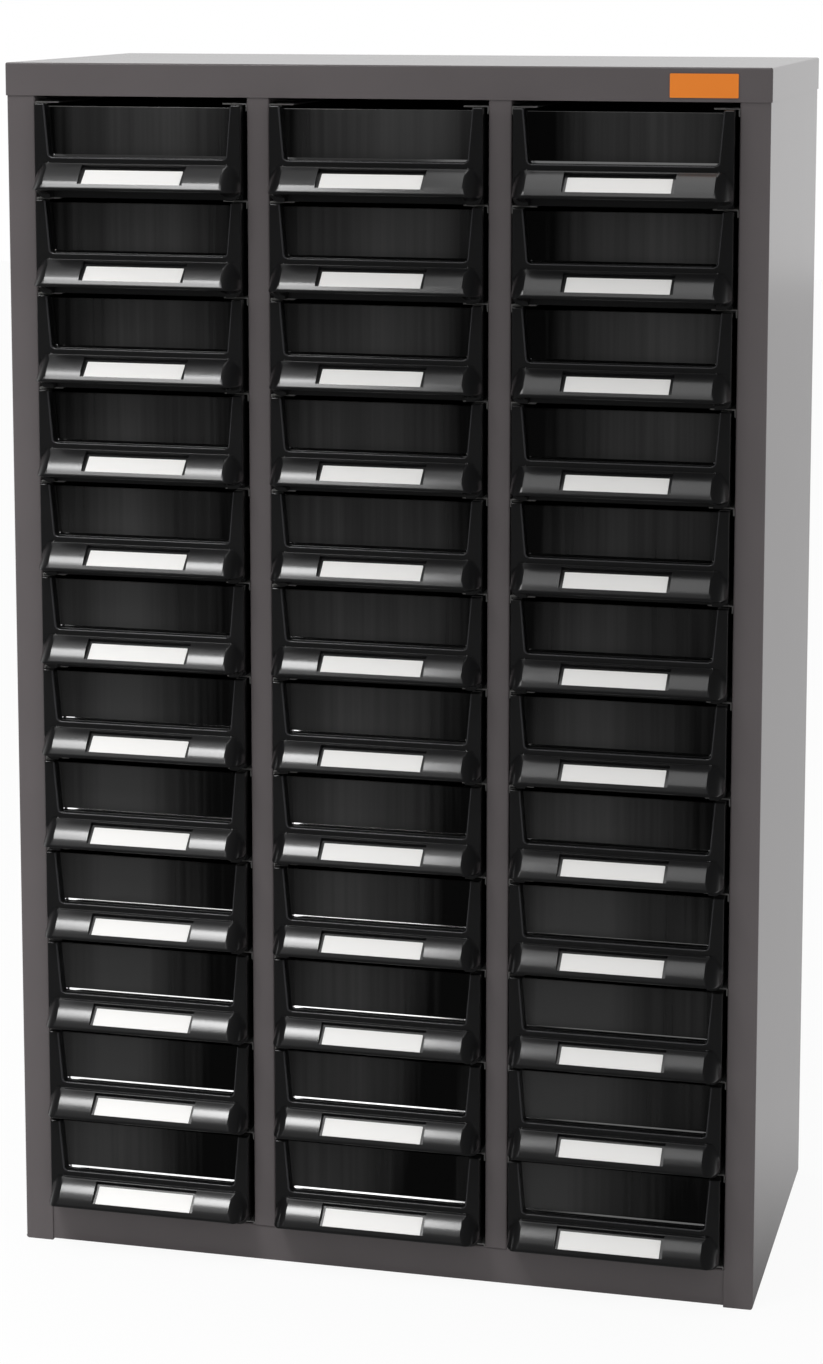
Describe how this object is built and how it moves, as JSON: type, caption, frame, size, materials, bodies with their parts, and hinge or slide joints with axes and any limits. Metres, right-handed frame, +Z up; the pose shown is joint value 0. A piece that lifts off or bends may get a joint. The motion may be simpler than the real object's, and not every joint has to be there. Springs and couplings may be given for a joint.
{
  "type": "parts cabinet",
  "caption": "Free-standing steel cabinet with columns of black moulded drawers on angle runners, each drawer with a glossy recessed front, a sloping pull and a label card.",
  "frame": {"origin": "centre of the cabinet's whole footprint, pulls included, on the floor", "axes": "+Z up, +Y from the drawer fronts to the back panel, +X to the right seen from the front"},
  "size_m": [0.586, 0.316, 0.937],
  "materials": {
    "body_paint": "semi-gloss warm dark grey powder coat with a fine orange peel",
    "runner_steel": "zinc plated strip, dull, folded into angle runners",
    "drawer_black": "black moulded plastic, satin on the frame and glossy in the recessed front",
    "label_card": "blank white card in the pocket of each pull",
    "badge_orange": "bare orange plate, satin",
    "rivet_metal": "plain rivet heads"
  },
  "bodies": {
    "cabinet": {"top_cover": "body_paint", "left_side_panel": "body_paint", "right_side_panel": "body_paint", "back_panel": "body_paint", "bottom_panel": "body_paint", "left_divider": "body_paint", "right_divider": "body_paint", "left_bay_runners_left": "runner_steel", "left_bay_runners_right": "runner_steel", "middle_bay_runners_left": "runner_steel", "middle_bay_runners_right": "runner_steel", "right_bay_runners_left": "runner_steel", "right_bay_runners_right": "runner_steel", "badge_plate": "badge_orange", "rear_rivets": "rivet_metal"},
    "left_drawer_01": {"left_drawer_01": "drawer_black"},
    "left_drawer_02": {"left_drawer_02": "drawer_black"},
    "left_drawer_03": {"left_drawer_03": "drawer_black"},
    "left_drawer_04": {"left_drawer_04": "drawer_black"},
    "left_drawer_05": {"left_drawer_05": "drawer_black"},
    "left_drawer_06": {"left_drawer_06": "drawer_black"},
    "left_drawer_07": {"left_drawer_07": "drawer_black"},
    "left_drawer_08": {"left_drawer_08": "drawer_black"},
    "left_drawer_09": {"left_drawer_09": "drawer_black"},
    "left_drawer_10": {"left_drawer_10": "drawer_black"},
    "left_drawer_11": {"left_drawer_11": "drawer_black"},
    "left_drawer_12": {"left_drawer_12": "drawer_black"},
    "middle_drawer_01": {"middle_drawer_01": "drawer_black"},
    "middle_drawer_02": {"middle_drawer_02": "drawer_black"},
    "middle_drawer_03": {"middle_drawer_03": "drawer_black"},
    "middle_drawer_04": {"middle_drawer_04": "drawer_black"},
    "middle_drawer_05": {"middle_drawer_05": "drawer_black"},
    "middle_drawer_06": {"middle_drawer_06": "drawer_black"},
    "middle_drawer_07": {"middle_drawer_07": "drawer_black"},
    "middle_drawer_08": {"middle_drawer_08": "drawer_black"},
    "middle_drawer_09": {"middle_drawer_09": "drawer_black"},
    "middle_drawer_10": {"middle_drawer_10": "drawer_black"},
    "middle_drawer_11": {"middle_drawer_11": "drawer_black"},
    "middle_drawer_12": {"middle_drawer_12": "drawer_black"},
    "right_drawer_01": {"right_drawer_01": "drawer_black"},
    "right_drawer_02": {"right_drawer_02": "drawer_black"},
    "right_drawer_03": {"right_drawer_03": "drawer_black"},
    "right_drawer_04": {"right_drawer_04": "drawer_black"},
    "right_drawer_05": {"right_drawer_05": "drawer_black"},
    "right_drawer_06": {"right_drawer_06": "drawer_black"},
    "right_drawer_07": {"right_drawer_07": "drawer_black"},
    "right_drawer_08": {"right_drawer_08": "drawer_black"},
    "right_drawer_09": {"right_drawer_09": "drawer_black"},
    "right_drawer_10": {"right_drawer_10": "drawer_black"},
    "right_drawer_11": {"right_drawer_11": "drawer_black"},
    "right_drawer_12": {"right_drawer_12": "drawer_black"}
  },
  "joints": [
    {"name": "left_drawer_01_slide", "type": "slide", "parent": "cabinet", "child": "left_drawer_01", "axis": [0, -1, 0], "range_m": [0, 0.215]},
    {"name": "left_drawer_02_slide", "type": "slide", "parent": "cabinet", "child": "left_drawer_02", "axis": [0, -1, 0], "range_m": [0, 0.215]},
    {"name": "left_drawer_03_slide", "type": "slide", "parent": "cabinet", "child": "left_drawer_03", "axis": [0, -1, 0], "range_m": [0, 0.215]},
    {"name": "left_drawer_04_slide", "type": "slide", "parent": "cabinet", "child": "left_drawer_04", "axis": [0, -1, 0], "range_m": [0, 0.215]},
    {"name": "left_drawer_05_slide", "type": "slide", "parent": "cabinet", "child": "left_drawer_05", "axis": [0, -1, 0], "range_m": [0, 0.215]},
    {"name": "left_drawer_06_slide", "type": "slide", "parent": "cabinet", "child": "left_drawer_06", "axis": [0, -1, 0], "range_m": [0, 0.215]},
    {"name": "left_drawer_07_slide", "type": "slide", "parent": "cabinet", "child": "left_drawer_07", "axis": [0, -1, 0], "range_m": [0, 0.215]},
    {"name": "left_drawer_08_slide", "type": "slide", "parent": "cabinet", "child": "left_drawer_08", "axis": [0, -1, 0], "range_m": [0, 0.215]},
    {"name": "left_drawer_09_slide", "type": "slide", "parent": "cabinet", "child": "left_drawer_09", "axis": [0, -1, 0], "range_m": [0, 0.215]},
    {"name": "left_drawer_10_slide", "type": "slide", "parent": "cabinet", "child": "left_drawer_10", "axis": [0, -1, 0], "range_m": [0, 0.215]},
    {"name": "left_drawer_11_slide", "type": "slide", "parent": "cabinet", "child": "left_drawer_11", "axis": [0, -1, 0], "range_m": [0, 0.215]},
    {"name": "left_drawer_12_slide", "type": "slide", "parent": "cabinet", "child": "left_drawer_12", "axis": [0, -1, 0], "range_m": [0, 0.215]},
    {"name": "middle_drawer_01_slide", "type": "slide", "parent": "cabinet", "child": "middle_drawer_01", "axis": [0, -1, 0], "range_m": [0, 0.215]},
    {"name": "middle_drawer_02_slide", "type": "slide", "parent": "cabinet", "child": "middle_drawer_02", "axis": [0, -1, 0], "range_m": [0, 0.215]},
    {"name": "middle_drawer_03_slide", "type": "slide", "parent": "cabinet", "child": "middle_drawer_03", "axis": [0, -1, 0], "range_m": [0, 0.215]},
    {"name": "middle_drawer_04_slide", "type": "slide", "parent": "cabinet", "child": "middle_drawer_04", "axis": [0, -1, 0], "range_m": [0, 0.215]},
    {"name": "middle_drawer_05_slide", "type": "slide", "parent": "cabinet", "child": "middle_drawer_05", "axis": [0, -1, 0], "range_m": [0, 0.215]},
    {"name": "middle_drawer_06_slide", "type": "slide", "parent": "cabinet", "child": "middle_drawer_06", "axis": [0, -1, 0], "range_m": [0, 0.215]},
    {"name": "middle_drawer_07_slide", "type": "slide", "parent": "cabinet", "child": "middle_drawer_07", "axis": [0, -1, 0], "range_m": [0, 0.215]},
    {"name": "middle_drawer_08_slide", "type": "slide", "parent": "cabinet", "child": "middle_drawer_08", "axis": [0, -1, 0], "range_m": [0, 0.215]},
    {"name": "middle_drawer_09_slide", "type": "slide", "parent": "cabinet", "child": "middle_drawer_09", "axis": [0, -1, 0], "range_m": [0, 0.215]},
    {"name": "middle_drawer_10_slide", "type": "slide", "parent": "cabinet", "child": "middle_drawer_10", "axis": [0, -1, 0], "range_m": [0, 0.215]},
    {"name": "middle_drawer_11_slide", "type": "slide", "parent": "cabinet", "child": "middle_drawer_11", "axis": [0, -1, 0], "range_m": [0, 0.215]},
    {"name": "middle_drawer_12_slide", "type": "slide", "parent": "cabinet", "child": "middle_drawer_12", "axis": [0, -1, 0], "range_m": [0, 0.215]},
    {"name": "right_drawer_01_slide", "type": "slide", "parent": "cabinet", "child": "right_drawer_01", "axis": [0, -1, 0], "range_m": [0, 0.215]},
    {"name": "right_drawer_02_slide", "type": "slide", "parent": "cabinet", "child": "right_drawer_02", "axis": [0, -1, 0], "range_m": [0, 0.215]},
    {"name": "right_drawer_03_slide", "type": "slide", "parent": "cabinet", "child": "right_drawer_03", "axis": [0, -1, 0], "range_m": [0, 0.215]},
    {"name": "right_drawer_04_slide", "type": "slide", "parent": "cabinet", "child": "right_drawer_04", "axis": [0, -1, 0], "range_m": [0, 0.215]},
    {"name": "right_drawer_05_slide", "type": "slide", "parent": "cabinet", "child": "right_drawer_05", "axis": [0, -1, 0], "range_m": [0, 0.215]},
    {"name": "right_drawer_06_slide", "type": "slide", "parent": "cabinet", "child": "right_drawer_06", "axis": [0, -1, 0], "range_m": [0, 0.215]},
    {"name": "right_drawer_07_slide", "type": "slide", "parent": "cabinet", "child": "right_drawer_07", "axis": [0, -1, 0], "range_m": [0, 0.215]},
    {"name": "right_drawer_08_slide", "type": "slide", "parent": "cabinet", "child": "right_drawer_08", "axis": [0, -1, 0], "range_m": [0, 0.215]},
    {"name": "right_drawer_09_slide", "type": "slide", "parent": "cabinet", "child": "right_drawer_09", "axis": [0, -1, 0], "range_m": [0, 0.215]},
    {"name": "right_drawer_10_slide", "type": "slide", "parent": "cabinet", "child": "right_drawer_10", "axis": [0, -1, 0], "range_m": [0, 0.215]},
    {"name": "right_drawer_11_slide", "type": "slide", "parent": "cabinet", "child": "right_drawer_11", "axis": [0, -1, 0], "range_m": [0, 0.215]},
    {"name": "right_drawer_12_slide", "type": "slide", "parent": "cabinet", "child": "right_drawer_12", "axis": [0, -1, 0], "range_m": [0, 0.215]}
  ]
}
